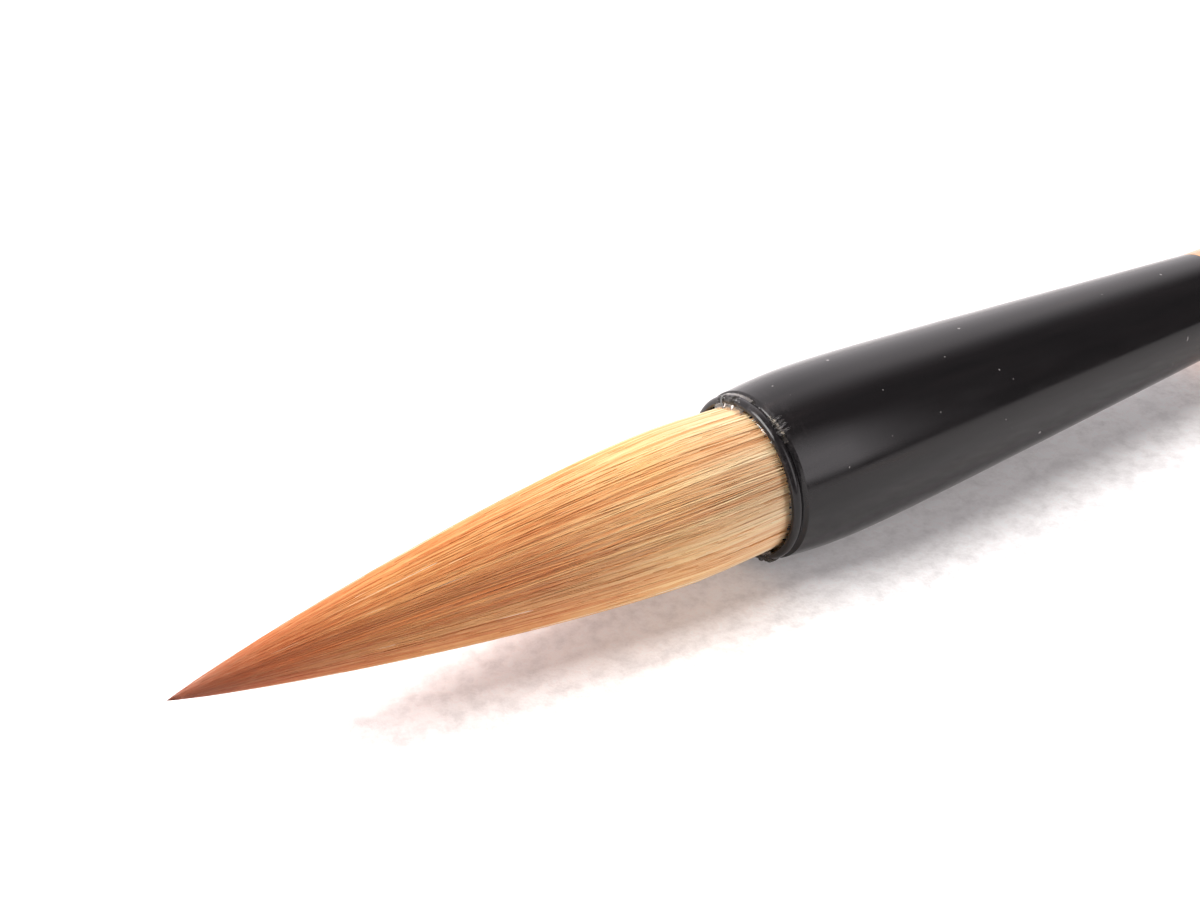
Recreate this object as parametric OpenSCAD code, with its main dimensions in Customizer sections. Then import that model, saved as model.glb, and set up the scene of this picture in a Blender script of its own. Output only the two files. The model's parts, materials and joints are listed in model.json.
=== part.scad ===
// Round writing brush with a turned horn ferrule, a bamboo shaft and a horn finial.
// The brush lies along X: the hair tip points to -X and the finial to +X.
// The origin is under the middle of the brush, on the surface that the ferrule's belly touches.

/* [Brush] */
// Length of the whole brush, hair tip to finial
total_l = 260; // [230:5:300]
// Radius of the shaft, and of the ferrule's narrow end
shaft_r = 3.4; // [3.2:0.1:3.8]
// Radius of the natural hollow in the bamboo
hollow_r = 1.5; // [1.3:0.05:1.7]

/* [Hair] */
// Length of hair that stands out of the ferrule
hair_l = 36; // [33:3:42]
// Radius of the tuft where it leaves the ferrule
mouth_r = 4.3; // [4.2:0.05:4.35]
// Radius of the tuft at its belly, the fullest point
belly_r = 4.45; // [4.4:0.05:4.6]
// Distance from the ferrule's mouth to the belly
belly_at = 5; // [4:0.5:7]
// How far the taper holds its fullness before it runs to the point
fullness = 1.4; // [1.2:0.05:1.6]
// How blunt the taper is: smaller is blunter
bluntness = 0.9; // [0.75:0.05:0.95]
// Radius of the tied neck of hair inside the ferrule
neck_r = 3; // [2.8:0.05:3.1]
// Share of the tuft's radius that the core hair fills
core_share = 0.55; // [0.45:0.05:0.65]
// Share of the tuft's radius inside the mantle hair, at the root
padded_share = 0.8; // [0.7:0.05:0.85]
// Distance outside the mouth at which the short padding hair ends
padding_end = 9; // [6:1.5:9]

/* [Ferrule] */
// Radius of the ferrule at its lip
lip_r = 5; // [4.95:0.05:5.2]
// Radius of the ferrule at its widest
body_r = 5.35; // [5.3:0.05:5.5]
// Distance from the mouth to the ferrule's widest place
body_at = 5; // [4:0.5:7]
// Length of the ferrule
ferrule_l = 37.5; // [36:0.5:42]
// Width of the rounded lip band
lip_w = 0.65; // [0.5:0.05:0.8]
// Radius of the hair pocket at the mouth
pocket_r = 4.55; // [4.5:0.05:4.6]
// Radius of the hair pocket at its floor
pocket_floor_r = 3.5; // [3.4:0.05:3.6]
// Depth of the hair pocket
pocket_l = 13; // [13:0.25:14]
// Depth of the socket for the shaft's tenon
socket_l = 15.5; // [12:0.5:17]
// Radius of the socket
socket_r = 2.75; // [2.7:0.05:2.85]

/* [Finial] */
// Length of the finial outside the shaft
finial_l = 12; // [9:0.5:16]
// Length of the finial's spigot inside the shaft
spigot_l = 8; // [5:0.5:12]
// Radius of the hole for a hanging cord
cord_hole_r = 0.9; // [0.7:0.05:1]

/* [Binding and glue] */
// Radius of the binding thread
thread_r = 0.15; // [0.12:0.01:0.18]
// Number of turns of the binding thread
thread_turns = 8; // [6:1:8]
// Thickness of every glue film
film_t = 0.15; // [0.1:0.01:0.2]

/* [Hidden] */
$fn = 96;

// Along the brush, x is measured from the ferrule's mouth: hair is negative, handle positive.
mouth_x = hair_l - total_l / 2;
shaft_end = total_l - hair_l - finial_l;
socket_floor = ferrule_l - socket_l;
tenon_r = socket_r - film_t;
spigot_r = hollow_r - film_t;
pilot_r = 1;            // hole that the turner drills first, from pocket to socket
root_l = 12;            // depth of the hair inside the ferrule
seal_t = 0.8;           // thickness of the melted rosin on the hair's root end
bed_x = root_l - 1;     // depth of the binding thread's first turn
pitch = 2 * thread_r + 0.02; // rise of the thread in one turn
step = 1.5;             // spacing of the points along the hair's outline
flare_l = 7.5;          // depth over which the hair spreads from its neck to the mouth
belly_from = -10.5;     // the hair bends between its root, belly and tip lengths
tip_from = -22.5;
core_end = step - hair_l; // the core hair stops a little short of the mantle's point
cuff_l = 1.5;           // straight start of the pocket, before it narrows
edge_r = 0.1;           // break of every turned edge
lip_round = 0.25;       // rounding of the lip band
bend = 0.12;            // how gently the ferrule's outline turns into its taper
groove_d = 0.12;        // depth of the turned groove behind the lip
groove_w = 0.13;        // width of that groove's floor
groove_end = 0.9;       // where the ferrule's long curve starts

// Radius of the tied neck as it opens out to the mouth: half a cosine wave.
function root_r(x) =
    x >= flare_l ? neck_r : neck_r + (mouth_r - neck_r) * (1 + cos(180 * x / flare_l)) / 2;

// Radius of the tuft from the mouth to the belly: a quarter of a sine wave.
function waist_r(x) = mouth_r + (belly_r - mouth_r) * sin(90 * -x / belly_at);

// Radius of the tuft from the belly to its point: full at first, then a near-straight taper.
function taper_r(x) =
    let (u = min(1, (-x - belly_at) / (hair_l - belly_at)))
    belly_r * pow(1 - pow(u, fullness), bluntness);

// Radius of the whole tuft.
function tuft_r(x) = x > 0 ? root_r(x) : -x < belly_at ? waist_r(x) : taper_r(x);

// Share of the tuft's radius that lies inside the mantle hair.
function inner_share(x) =
    core_share + (padded_share - core_share) * max(0, (x + padding_end) / (root_l + padding_end));

// Radius of the ferrule's shoulder, from the lip to its widest place: a quarter of a sine wave.
function shoulder_r(x) = lip_r + (body_r - lip_r) * sin(90 * x / body_at);

// Share of the ferrule's taper that is done at v, from 0 to 1: a hyperbola, flat and then straight.
function taper_share(v) = (sqrt(v * v + bend * bend) - bend) / (sqrt(1 + bend * bend) - bend);

// Radius of the ferrule's outside.
function ferrule_r(x) =
    x < body_at ? shoulder_r(x)
    : body_r - (body_r - shaft_r) * taper_share((x - body_at) / (ferrule_l - body_at));

// Points along the hair's outline, from one place to another, at a share of its radius.
function outer_line(a, b) = [for (x = [a:-step:b]) [tuft_r(x), x]];
function inner_line(a, b) = [for (x = [a:-step:b]) [tuft_r(x) * inner_share(x), x]];
function core_line(a, b) = [for (x = [a:-step:b]) [tuft_r(x) * core_share, x]];
function back(line) = [for (i = [len(line) - 1:-1:0]) line[i]];

// Turns an outline of [radius, x] about the brush's axis and puts it in place.
module turned(outline) {
    translate([mouth_x, 0, body_r])
        rotate([0, 90, 0])
            rotate_extrude()
                polygon(outline);
}

// Lip band, turned groove, long outer curve, hair pocket, pilot hole and tenon socket.
module ferrule() {
    band = [for (a = [0:25:150]) [
        lip_r - lip_round + lip_round * sin(a),
        lip_w / 2 * (1 - cos(a))
    ]];
    shoulder = [for (i = [0:5]) let (x = groove_end + (body_at - groove_end) * i / 6)
        [ferrule_r(x), x]];
    taper = [for (i = [0:24]) let (x = body_at + (ferrule_l - body_at) * i / 24)
        [ferrule_r(x), x]];
    color("#1c1a1c")
        turned(concat(
            [[pocket_r + edge_r, 0]],
            band,
            [[lip_r - groove_d, lip_w], [lip_r - groove_d, lip_w + groove_w]],
            shoulder,
            taper,
            [[socket_r, ferrule_l], [socket_r, socket_floor], [pilot_r, socket_floor]],
            [[pilot_r, pocket_l], [pocket_floor_r, pocket_l]],
            [[pocket_r, cuff_l], [pocket_r, edge_r]]
        ));
}

// Bamboo tube with a tenon turned on its front end.
module shaft() {
    tenon_from = socket_floor + film_t;
    color("#c98a45")
        turned([
            [hollow_r, tenon_from],
            [tenon_r - edge_r, tenon_from],
            [tenon_r, tenon_from + edge_r],
            [tenon_r, ferrule_l],
            [shaft_r, ferrule_l],
            [shaft_r, shaft_end],
            [hollow_r, shaft_end]
        ]);
}

// Glue between the tenon and the socket, and on the socket's floor.
module tenon_glue() {
    tenon_from = socket_floor + film_t;
    color("#b9842f")
        turned([
            [pilot_r, socket_floor],
            [socket_r, socket_floor],
            [socket_r, ferrule_l],
            [tenon_r, ferrule_l],
            [tenon_r, tenon_from + edge_r],
            [tenon_r - edge_r, tenon_from],
            [pilot_r, tenon_from]
        ]);
}

// Horn end cap: collar, groove, rounded end, spigot and cord hole.
module finial() {
    collar_l = 1.6;
    neck_l = 0.6;
    neck_d = 0.35;
    end_r = 2;
    dome_from = shaft_end + collar_l + neck_l;
    dome_l = finial_l - collar_l - neck_l;
    dome = [for (a = [0:7.5:90]) [
        end_r + (shaft_r - end_r) * cos(a),
        dome_from + dome_l * sin(a)
    ]];
    color("#1c1a1c")
        turned(concat(
            [[cord_hole_r, shaft_end - spigot_l], [spigot_r, shaft_end - spigot_l]],
            [[spigot_r, shaft_end], [shaft_r, shaft_end]],
            [[shaft_r, shaft_end + collar_l], [shaft_r - neck_d, shaft_end + collar_l]],
            [[shaft_r - neck_d, dome_from]],
            dome,
            [[cord_hole_r, shaft_end + finial_l]]
        ));
}

// Glue between the finial's spigot and the bamboo's hollow.
module finial_glue() {
    color("#b9842f")
        turned([
            [spigot_r, shaft_end - spigot_l],
            [hollow_r, shaft_end - spigot_l],
            [hollow_r, shaft_end],
            [spigot_r, shaft_end]
        ]);
}

// Glue that fills the pocket round the hair and stands as a bead at the mouth.
module setting_glue() {
    front_x = bed_x - thread_turns * pitch - 2 * thread_r;
    bed_r = neck_r + 2 * thread_r + 0.03;
    bead_l = 0.9;
    bead_w = 0.1;
    color("#d8c9a4", 0.6)
        turned(concat(
            [[pilot_r, pocket_l], [pocket_floor_r, pocket_l]],
            [[pocket_r, cuff_l], [pocket_r, 2 * bead_w], [pocket_r - bead_w, -bead_w]],
            [[tuft_r(-bead_l), -bead_l], [mouth_r, 0]],
            [for (x = [step:step:flare_l - step]) [root_r(x), x]],
            [[neck_r, flare_l]],
            [[neck_r, front_x], [bed_r, front_x], [bed_r, bed_x], [neck_r, bed_x]],
            [[neck_r, root_l + seal_t], [pilot_r, root_l + seal_t]]
        ));
}

// Melted rosin that locks the hair's root end.
module root_seal() {
    color("#a8661f")
        turned([
            [0, root_l],
            [neck_r, root_l],
            [neck_r, root_l + seal_t / 2],
            [neck_r - seal_t / 2, root_l + seal_t],
            [0, root_l + seal_t]
        ]);
}

// Thread wound tight round the neck of hair, as one long coil.
module root_binding() {
    sides = 6;
    per_turn = 28;
    rings = thread_turns * per_turn;
    coil_r = neck_r + thread_r + 0.01;
    coil_from = bed_x - thread_r - 0.01;
    points = [for (i = [0:rings], j = [0:sides - 1])
        let (
            turn = 360 * i / per_turn,
            round = 360 * j / sides,
            r = coil_r + thread_r * cos(round)
        )
        [r * cos(turn), r * sin(turn), coil_from - pitch * i / per_turn + thread_r * sin(round)]];
    walls = [for (i = [0:rings - 1], j = [0:sides - 1])
        let (k = (j + 1) % sides)
        [i * sides + j, i * sides + k, (i + 1) * sides + k, (i + 1) * sides + j]];
    first_end = [for (j = [sides - 1:-1:0]) j];
    last_end = [for (j = [0:sides - 1]) rings * sides + j];
    color("#e9e2d0")
        translate([mouth_x, 0, body_r])
            rotate([0, 90, 0])
                polyhedron(points, concat(walls, [first_end, last_end]));
}

// Short hairs packed round the core to fill the tuft's waist.
module padding_hair() {
    color("#c79a5e")
        turned(concat(
            inner_line(root_l, -padding_end),
            back(core_line(root_l, step - padding_end))
        ));
}

// Stiff core hair: tied root, springy belly and point.
module core_hair_root() {
    color("#8a4a22")
        turned(concat([[0, root_l]], core_line(root_l, belly_from), [[0, belly_from]]));
}

module core_hair_belly() {
    color("#8a4a22")
        turned(concat([[0, belly_from]], core_line(belly_from, tip_from), [[0, tip_from]]));
}

module core_hair_tip() {
    color("#8a4a22")
        turned(concat([[0, tip_from]], core_line(tip_from, core_end), [[0, core_end]]));
}

// Softer outer hair that covers the core and runs past it to the point.
module mantle_hair_root() {
    color("#f0d2a0")
        turned(concat(
            outer_line(root_l, belly_from),
            back(inner_line(root_l, belly_from))
        ));
}

module mantle_hair_belly() {
    color("#d99a5a")
        turned(concat(
            outer_line(belly_from, tip_from),
            back(inner_line(belly_from, tip_from))
        ));
}

module mantle_hair_tip() {
    color("#b5703f")
        turned(concat(
            outer_line(tip_from, -hair_l),
            [[0, core_end]],
            back(core_line(tip_from, core_end))
        ));
}

ferrule();
shaft();
tenon_glue();
finial();
finial_glue();
setting_glue();
root_seal();
root_binding();
padding_hair();
core_hair_root();
core_hair_belly();
core_hair_tip();
mantle_hair_root();
mantle_hair_belly();
mantle_hair_tip();
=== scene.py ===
# %% [markdown]
# # A round writing brush, hair by hair
#
# This brush has a pointed tuft of hair, a turned black horn ferrule, a bamboo shaft and a horn
# finial. The measured model gives its size, its place and its bends. This lesson adds what that
# leaves plain: the separate hairs, the polish of the horn, the glue at the ferrule's mouth and
# the fibres of the bamboo. It starts by loading the measured model, which is never moved.

# %% Load the measured model
import json
import math

import bpy
import numpy as np
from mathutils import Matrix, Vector


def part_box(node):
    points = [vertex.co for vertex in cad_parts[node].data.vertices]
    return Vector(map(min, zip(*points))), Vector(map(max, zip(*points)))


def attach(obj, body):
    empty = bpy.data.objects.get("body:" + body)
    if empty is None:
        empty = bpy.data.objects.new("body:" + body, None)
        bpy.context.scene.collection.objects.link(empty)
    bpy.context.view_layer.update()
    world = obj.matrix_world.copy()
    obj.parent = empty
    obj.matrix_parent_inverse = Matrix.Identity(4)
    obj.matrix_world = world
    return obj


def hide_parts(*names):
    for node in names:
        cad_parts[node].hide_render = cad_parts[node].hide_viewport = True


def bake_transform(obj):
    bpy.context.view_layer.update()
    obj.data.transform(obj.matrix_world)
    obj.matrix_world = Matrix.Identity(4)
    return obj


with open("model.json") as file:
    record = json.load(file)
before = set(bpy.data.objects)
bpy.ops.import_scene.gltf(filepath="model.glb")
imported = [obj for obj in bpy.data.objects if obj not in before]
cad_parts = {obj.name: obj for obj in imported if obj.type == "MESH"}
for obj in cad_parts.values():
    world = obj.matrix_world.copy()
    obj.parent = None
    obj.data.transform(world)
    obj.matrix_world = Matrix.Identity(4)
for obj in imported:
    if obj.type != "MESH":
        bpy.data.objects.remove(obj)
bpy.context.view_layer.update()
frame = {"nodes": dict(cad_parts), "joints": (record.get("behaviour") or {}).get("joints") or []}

# %% [markdown]
# The brush lies along X with its point towards -X. Everything that follows is placed by a few
# landmarks on it: the ferrule's mouth, the brush's axis, the point of the tuft and the places
# where the tuft bends. They are read from the measured model, so they can't drift from it.

# %% Read the landmarks
MM = 0.001


def half_height(node):
    """Radius of a round node that lies along X: half of its box's height."""
    low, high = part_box(node)
    return (high.z - low.z) / 2


MOUTH_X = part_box("ferrule")[0].x
FERRULE_END_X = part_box("ferrule")[1].x
POINT_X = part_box("mantle_hair_tip")[0].x
ROOT_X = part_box("mantle_hair_root")[1].x
AXIS_Z = (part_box("ferrule")[0].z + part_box("ferrule")[1].z) / 2
BODY_R = half_height("ferrule")
BELLY_R = half_height("mantle_hair_root")
SHAFT_R = half_height("shaft")
HAIR_L = MOUTH_X - POINT_X
BEND = {joint["name"]: MOUTH_X - joint["pos_m"][0] for joint in frame["joints"]}
print("hair outside the ferrule, mm:", round(HAIR_L / MM, 2), "ferrule radius:", round(BODY_R / MM, 2))
print("bends, mm from the mouth:", {name: round(s / MM, 1) for name, s in BEND.items()})

# %% [markdown]
# The brush is seen close up, from above the front left, so the point of the tuft is much
# nearer than the handle and looks larger. The camera stands about 13 cm from the ferrule's
# mouth and aims a little to the tuft's side of it. Setting it first means that every later
# step can be judged in the final view.

# %% Place the camera
AZIMUTH, ELEVATION = math.radians(-33.8), math.radians(33.1)
CAMERA_DISTANCE = 125.3 * MM
AIM_LEFT, AIM_UP = 8.2 * MM, 1.1 * MM

towards_camera = Vector((
    math.sin(AZIMUTH) * math.cos(ELEVATION),
    -math.cos(AZIMUTH) * math.cos(ELEVATION),
    math.sin(ELEVATION),
))
camera_right = Vector((math.cos(AZIMUTH), math.sin(AZIMUTH), 0))
camera_up = towards_camera.cross(camera_right)
aim = Vector((MOUTH_X, 0, AXIS_Z)) - AIM_LEFT * camera_right + AIM_UP * camera_up

lens = bpy.data.cameras.new("camera")
lens.lens = 65.0
lens.sensor_width = 36
lens.clip_start = 1 * MM
lens.clip_end = 50
camera = bpy.data.objects.new("camera", lens)
camera.location = aim + CAMERA_DISTANCE * towards_camera
camera.rotation_euler = (-towards_camera).to_track_quat("-Z", "Y").to_euler()
bpy.context.scene.collection.objects.link(camera)
bpy.context.scene.camera = camera
print("camera at, mm:", [round(c / MM, 1) for c in camera.location])

# %% [markdown]
# Every new piece is worked out with numpy and then handed to a mesh in one go. The faces of a
# closed piece must all point outwards, or light falls on it wrongly. The signed volume of a
# mesh tells: it is positive only when they do, so one helper measures it and another turns the
# faces round if it is negative. A third stores a number on each point for a material to read.

# %% Helpers for meshes
def signed_volume(points, faces):
    """Sum over the triangles of corner 0 . (corner 1 x corner 2) / 6."""
    total = 0.0
    for a, b, c in ((0, 1, 2), (0, 2, 3)) if faces.shape[1] == 4 else ((0, 1, 2),):
        p, q, r = points[faces[:, a]], points[faces[:, b]], points[faces[:, c]]
        total += np.einsum("ij,ij->", p, np.cross(q, r)) / 6
    return total


def make_piece(name, points, face_groups, material, sharp_above=35):
    """Puts points and faces into a mesh, faces outwards, smooth except at sharp edges."""
    points = points.reshape(-1, 3)
    if sum(signed_volume(points, faces) for faces in face_groups) < 0:
        face_groups = [faces[:, ::-1] for faces in face_groups]
    data = bpy.data.meshes.new(name)
    data.from_pydata(points, [], [face for faces in face_groups for face in faces.tolist()])
    data.shade_smooth()
    data.set_sharp_from_angle(angle=math.radians(sharp_above))
    data.materials.append(material)
    piece = bpy.data.objects.new(name, data)
    bpy.context.scene.collection.objects.link(piece)
    triangles = sum(len(face.vertices) - 2 for face in data.polygons)
    print(name, "has", triangles, "triangles")
    return piece


def set_value(piece, name, values):
    """Stores one number for each point of a piece, for its material to read."""
    layer = piece.data.attributes.new(name, "FLOAT", "POINT")
    layer.data.foreach_set("value", np.asarray(values, np.float32).ravel())


# %% [markdown]
# Nearly everything on a brush is round, so its surface is a grid: rows of points along it and
# columns round it. One helper numbers the faces of such a grid, one places points round the
# brush's axis, and one carries an outline round that axis, as a lathe does.

# %% Helpers for turned pieces
def grid_faces(rows, columns, loop_rows):
    """Faces between neighbouring rows of points; the last column joins the first."""
    i = np.arange(rows if loop_rows else rows - 1)[:, None]
    j = np.arange(columns)[None, :]
    k, l = (i + 1) % rows, (j + 1) % columns
    corners = [i * columns + j, i * columns + l, k * columns + l, k * columns + j]
    return np.stack(np.broadcast_arrays(*corners), -1).reshape(-1, 4)


def around_axis(x, r, turn):
    """Points at radius r from the axis; turn is the angle from the top towards the front."""
    x, r, turn = np.broadcast_arrays(x, r, turn)
    return np.stack([x, -r * np.sin(turn), AXIS_Z + r * np.cos(turn)], -1)


def turned(name, x, r, sides, material, ripple=0, sharp_above=35):
    """An outline (x, r) carried round the axis. If it starts and ends on the axis, each end is
    closed by a fan of triangles, and otherwise the outline is a loop. ripple is added to r."""
    turn = np.arange(sides) * 2 * np.pi / sides
    x, r = np.asarray(x, float), np.asarray(r, float)
    if r[0] > 0:
        points = around_axis(x[:, None], r[:, None] + ripple, turn[None, :])
        return make_piece(name, points, [grid_faces(len(x), sides, True)], material, sharp_above)
    inner = around_axis(x[1:-1, None], r[1:-1, None] + ripple, turn[None, :]).reshape(-1, 3)
    ends = around_axis(x[[0, -1]], r[[0, -1]], 0)
    count = len(inner)
    j = np.arange(sides)
    following = (j + 1) % sides
    last_row = count - sides
    first_fan = np.stack([np.full(sides, count), following, j], -1)
    last_fan = np.stack([np.full(sides, count + 1), last_row + j, last_row + following], -1)
    groups = [grid_faces(len(x) - 2, sides, False), first_fan, last_fan]
    return make_piece(name, np.concatenate([inner, ends]), groups, material, sharp_above)


# %% [markdown]
# A material is a small network of nodes. Each finish below uses the same few: a noise that is
# stretched along the brush, a ramp that turns a number into a colour, and a mix. Short helpers
# keep each finish readable. Patterns read Object coordinates, which are metres on this brush,
# so a scale of 1000 gives features about a millimetre across.

# %% Helpers for materials
def set_limits(map_range, low, high, to_low, to_high):
    """Sets the four limits of a Map Range node."""
    for socket, number in zip(list(map_range.inputs)[1:5], (low, high, to_low, to_high)):
        socket.default_value = number


class Finish:
    """A material with one Principled shader, and short ways to add nodes to it."""

    def __init__(self, name):
        self.material = bpy.data.materials.new(name)
        self.material.use_nodes = True
        self.nodes = self.material.node_tree.nodes
        self.links = self.material.node_tree.links
        self.shader = self.nodes["Principled BSDF"]
        self.place = self.nodes.new("ShaderNodeTexCoord").outputs["Object"]

    def put(self, target, value):
        """Sets a socket to a value, or joins it to another node's output."""
        if isinstance(value, bpy.types.NodeSocket):
            self.links.new(value, target)
        else:
            target.default_value = value

    def set(self, **sockets):
        """Sets the shader's own sockets; underscores in a name stand for spaces."""
        for name, value in sockets.items():
            self.put(self.shader.inputs[name.replace("_", " ")], value)

    def stretched(self, scale):
        """Object coordinates multiplied by a scale for each axis."""
        mapping = self.nodes.new("ShaderNodeMapping")
        mapping.inputs["Scale"].default_value = scale
        self.links.new(self.place, mapping.inputs["Vector"])
        return mapping.outputs["Vector"]

    def noise(self, scale, detail=3, roughness=0.5):
        """Soft noise from 0 to 1, with features about 1 / scale metres long on each axis."""
        node = self.nodes.new("ShaderNodeTexNoise")
        node.inputs["Scale"].default_value = 1
        node.inputs["Detail"].default_value = detail
        node.inputs["Roughness"].default_value = roughness
        self.links.new(self.stretched(scale), node.inputs["Vector"])
        return node.outputs["Fac"]

    def stored(self, name):
        """A number stored on the piece's points."""
        node = self.nodes.new("ShaderNodeAttribute")
        node.attribute_name = name
        return node.outputs["Fac"]

    def ramp(self, value, stops):
        """A colour for each value, blended between stops of (value, colour)."""
        node = self.nodes.new("ShaderNodeValToRGB")
        elements = node.color_ramp.elements
        while len(elements) < len(stops):
            elements.new(0.5)
        for element, (position, colour) in zip(elements, stops):
            element.position = position
            element.color = (*colour, 1)
        self.links.new(value, node.inputs["Fac"])
        return node.outputs["Color"]

    def spread(self, value, low, high, to_low, to_high):
        """Maps low..high onto to_low..to_high and holds it there."""
        node = self.nodes.new("ShaderNodeMapRange")
        set_limits(node, low, high, to_low, to_high)
        self.links.new(value, node.inputs["Value"])
        return node.outputs["Result"]

    def mix(self, share, first, second, kind="MIX"):
        """Blends two colours; share 0 gives the first."""
        node = self.nodes.new("ShaderNodeMix")
        node.data_type = "RGBA"
        node.blend_type = kind
        self.put(node.inputs["Factor"], share)
        self.put(self.colour_socket(node.inputs, "A"), first)
        self.put(self.colour_socket(node.inputs, "B"), second)
        return self.colour_socket(node.outputs, "Result")

    @staticmethod
    def colour_socket(sockets, name):
        """A Mix node's colour socket. It has number and vector sockets of the same name too."""
        return next(s for s in sockets if s.name == name and s.type == "RGBA")

    def bump(self, height, distance, strength=1.0):
        """Tilts the surface's shading by a height pattern, distance deep."""
        node = self.nodes.new("ShaderNodeBump")
        node.inputs["Strength"].default_value = strength
        node.inputs["Distance"].default_value = distance
        self.links.new(height, node.inputs["Height"])
        self.put(self.shader.inputs["Normal"], node.outputs["Normal"])


# %% [markdown]
# The tuft is goat-like outer hair over a stiffer core. Each hair is pale straw where it leaves
# the ferrule, turns orange-tan past the belly and ends red-brown at the point. The hairs
# differ in tone, and whole locks of them are lighter or darker. The finish reads three
# numbers that each hair carries: how far along it is, its own tone and the tone of its lock,
# which also holds painted shade down in the furrow. Hair that lies under other hair is given
# painted shade. A noise stretched along the brush adds strands too fine to be made as threads.

# %% Hair finish
def hair_finish(name, depth):
    """Straw to red-brown along the hair. depth is painted shade: it darkens hair that lies under other
    hair.
    """
    finish = Finish(name)
    reach = finish.stored("reach")
    along = finish.ramp(reach, [
        (0.00, (0.95, 0.66, 0.37)),
        (0.20, (0.92, 0.55, 0.23)),
        (0.42, (0.76, 0.35, 0.118)),
        (0.65, (0.69, 0.29, 0.086)),
        (0.84, (0.54, 0.17, 0.050)),
        (1.00, (0.30, 0.082, 0.042)),
    ])
    dark = finish.mix(1.0, along, (0.78, 0.56, 0.42, 1), "MULTIPLY")
    light = finish.mix(1.0, along, (1.04, 1.28, 1.55, 1), "MULTIPLY")

    # Ruddy patches, which fade in past the root.
    ruddy = finish.mix(1.0, along, (0.86, 0.64, 0.46, 1), "MULTIPLY")
    ruddy = finish.mix(finish.spread(reach, 0.1, 0.5, 0, 1), along, ruddy)
    patch = finish.noise((85, 480, 480), detail=1)
    toned = finish.mix(finish.spread(patch, 0.46, 0.66, 0, 0.75), along, ruddy)

    # Fine strands, then the tone of each hair and of its lock, then the few bleached hairs.
    strand = finish.noise((90, 6500, 6500), detail=2, roughness=0.6)
    toned = finish.mix(finish.spread(strand, 0.30, 0.48, 0.7, 0), toned, dark)
    toned = finish.mix(finish.spread(strand, 0.50, 0.68, 0, 0.9), toned, light)
    # The lock's number also carries painted shade down in the furrow.
    for number, share in ((finish.stored("tone"), 0.8), (finish.stored("lock"), 0.5)):
        toned = finish.mix(finish.spread(number, -1, 0, share, 0), toned, dark)
        toned = finish.mix(finish.spread(number, 0, 1, 0, share), toned, light)
    bleached = finish.spread(finish.stored("tone"), 1.0, 1.5, 0, 0.7)
    toned = finish.mix(bleached, toned, (1.0, 0.90, 0.70, 1))
    # Painted shade: hair that lies under other hair is darkened by depth.
    toned = finish.mix(depth, toned, (0.25, 0.08, 0.02, 1))
    finish.set(
        Base_Color=toned,
        Roughness=finish.spread(strand, 0.3, 0.7, 0.34, 0.5),
        IOR=1.6,
        Sheen_Weight=0.05,
        Sheen_Roughness=0.4,
        Sheen_Tint=(1.0, 0.85, 0.65, 1),
    )
    return finish.material


# The packed hair and the core hair are shaded copies of the loose hair, with painted shade under it.
OUTER_HAIR = hair_finish("loose_hair", 0.0)
UNDER_HAIR = hair_finish("packed_hair", 0.25)
CORE_HAIR = hair_finish("stiff_core_hair", 0.55)
print("hair finishes:", OUTER_HAIR.name, UNDER_HAIR.name, CORE_HAIR.name)

# %% [markdown]
# The tuft's outline has three stretches. Inside the ferrule the tied neck opens out to the
# mouth on half a cosine wave. From the mouth to the belly it swells on a quarter of a sine
# wave. From the belly to the point it follows one power of another power, which is full at
# first and then runs nearly straight to a sharp point.

# %% The tuft's outline
NECK_R = 3.0 * MM
MOUTH_HAIR_R = 4.3 * MM
FLARE_L = 7.5 * MM
BELLY_AT = 5.0 * MM
FULLNESS, BLUNTNESS = 1.4, 0.9


def tuft_radius(s):
    """Radius at s metres outside the mouth; negative s is inside the ferrule."""
    s = np.asarray(s, float)
    root = NECK_R + (MOUTH_HAIR_R - NECK_R) * (1 + np.cos(np.pi * np.clip(-s / FLARE_L, 0, 1))) / 2
    waist = MOUTH_HAIR_R + (BELLY_R - MOUTH_HAIR_R) * np.sin(np.pi / 2 * s / BELLY_AT)
    run = np.clip((s - BELLY_AT) / (HAIR_L - BELLY_AT), 0, 1)
    taper = BELLY_R * (1 - run ** FULLNESS) ** BLUNTNESS
    return np.where(s < 0, root, np.where(s < BELLY_AT, waist, taper))


print("tuft radius at 0, 5, 20 and 35 mm:", np.round(tuft_radius(np.array([0, 5, 20, 35]) * MM) / MM, 2))

# %% [markdown]
# Hair on a real tuft lies in locks. A sum of a few cosine waves round the tuft, each with its
# own phase that drifts along the hair, gives a smooth pattern that closes on itself. The same
# pattern tints the hair under the surface and the hairs on top of it, so they belong together.
# Two big locks also part a little along the front of the tuft, which leaves a shallow furrow.

# %% Locks of hair
MOST_DRIFT = 3


def locks(turn, s, seed, counts):
    """Sum of cos(count * turn + phase + drift * s / the hair's length), one wave for each
    count, over the square root of the number of waves. It stays mostly between -1 and 1."""
    dice = np.random.default_rng(seed)
    total = 0.0
    for count in counts:
        phase, drift = dice.uniform(0, 2 * np.pi), dice.uniform(-1, 1)
        total = total + np.cos(count * turn + phase + drift * MOST_DRIFT * s / HAIR_L)
    return total / math.sqrt(len(counts))


LOCK_COUNTS = (5, 9, 14, 22, 31, 47, 70)
LOCK_SEED = 4
FURROW_TURN, FURROW_WIDTH = math.radians(58), math.radians(11)
FURROW_DEPTH, FURROW_SHADE = 0.08, 2.2
FURROW_START, FURROW_RISE, FURROW_FALL = 0.30, 0.25, 0.12


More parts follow.
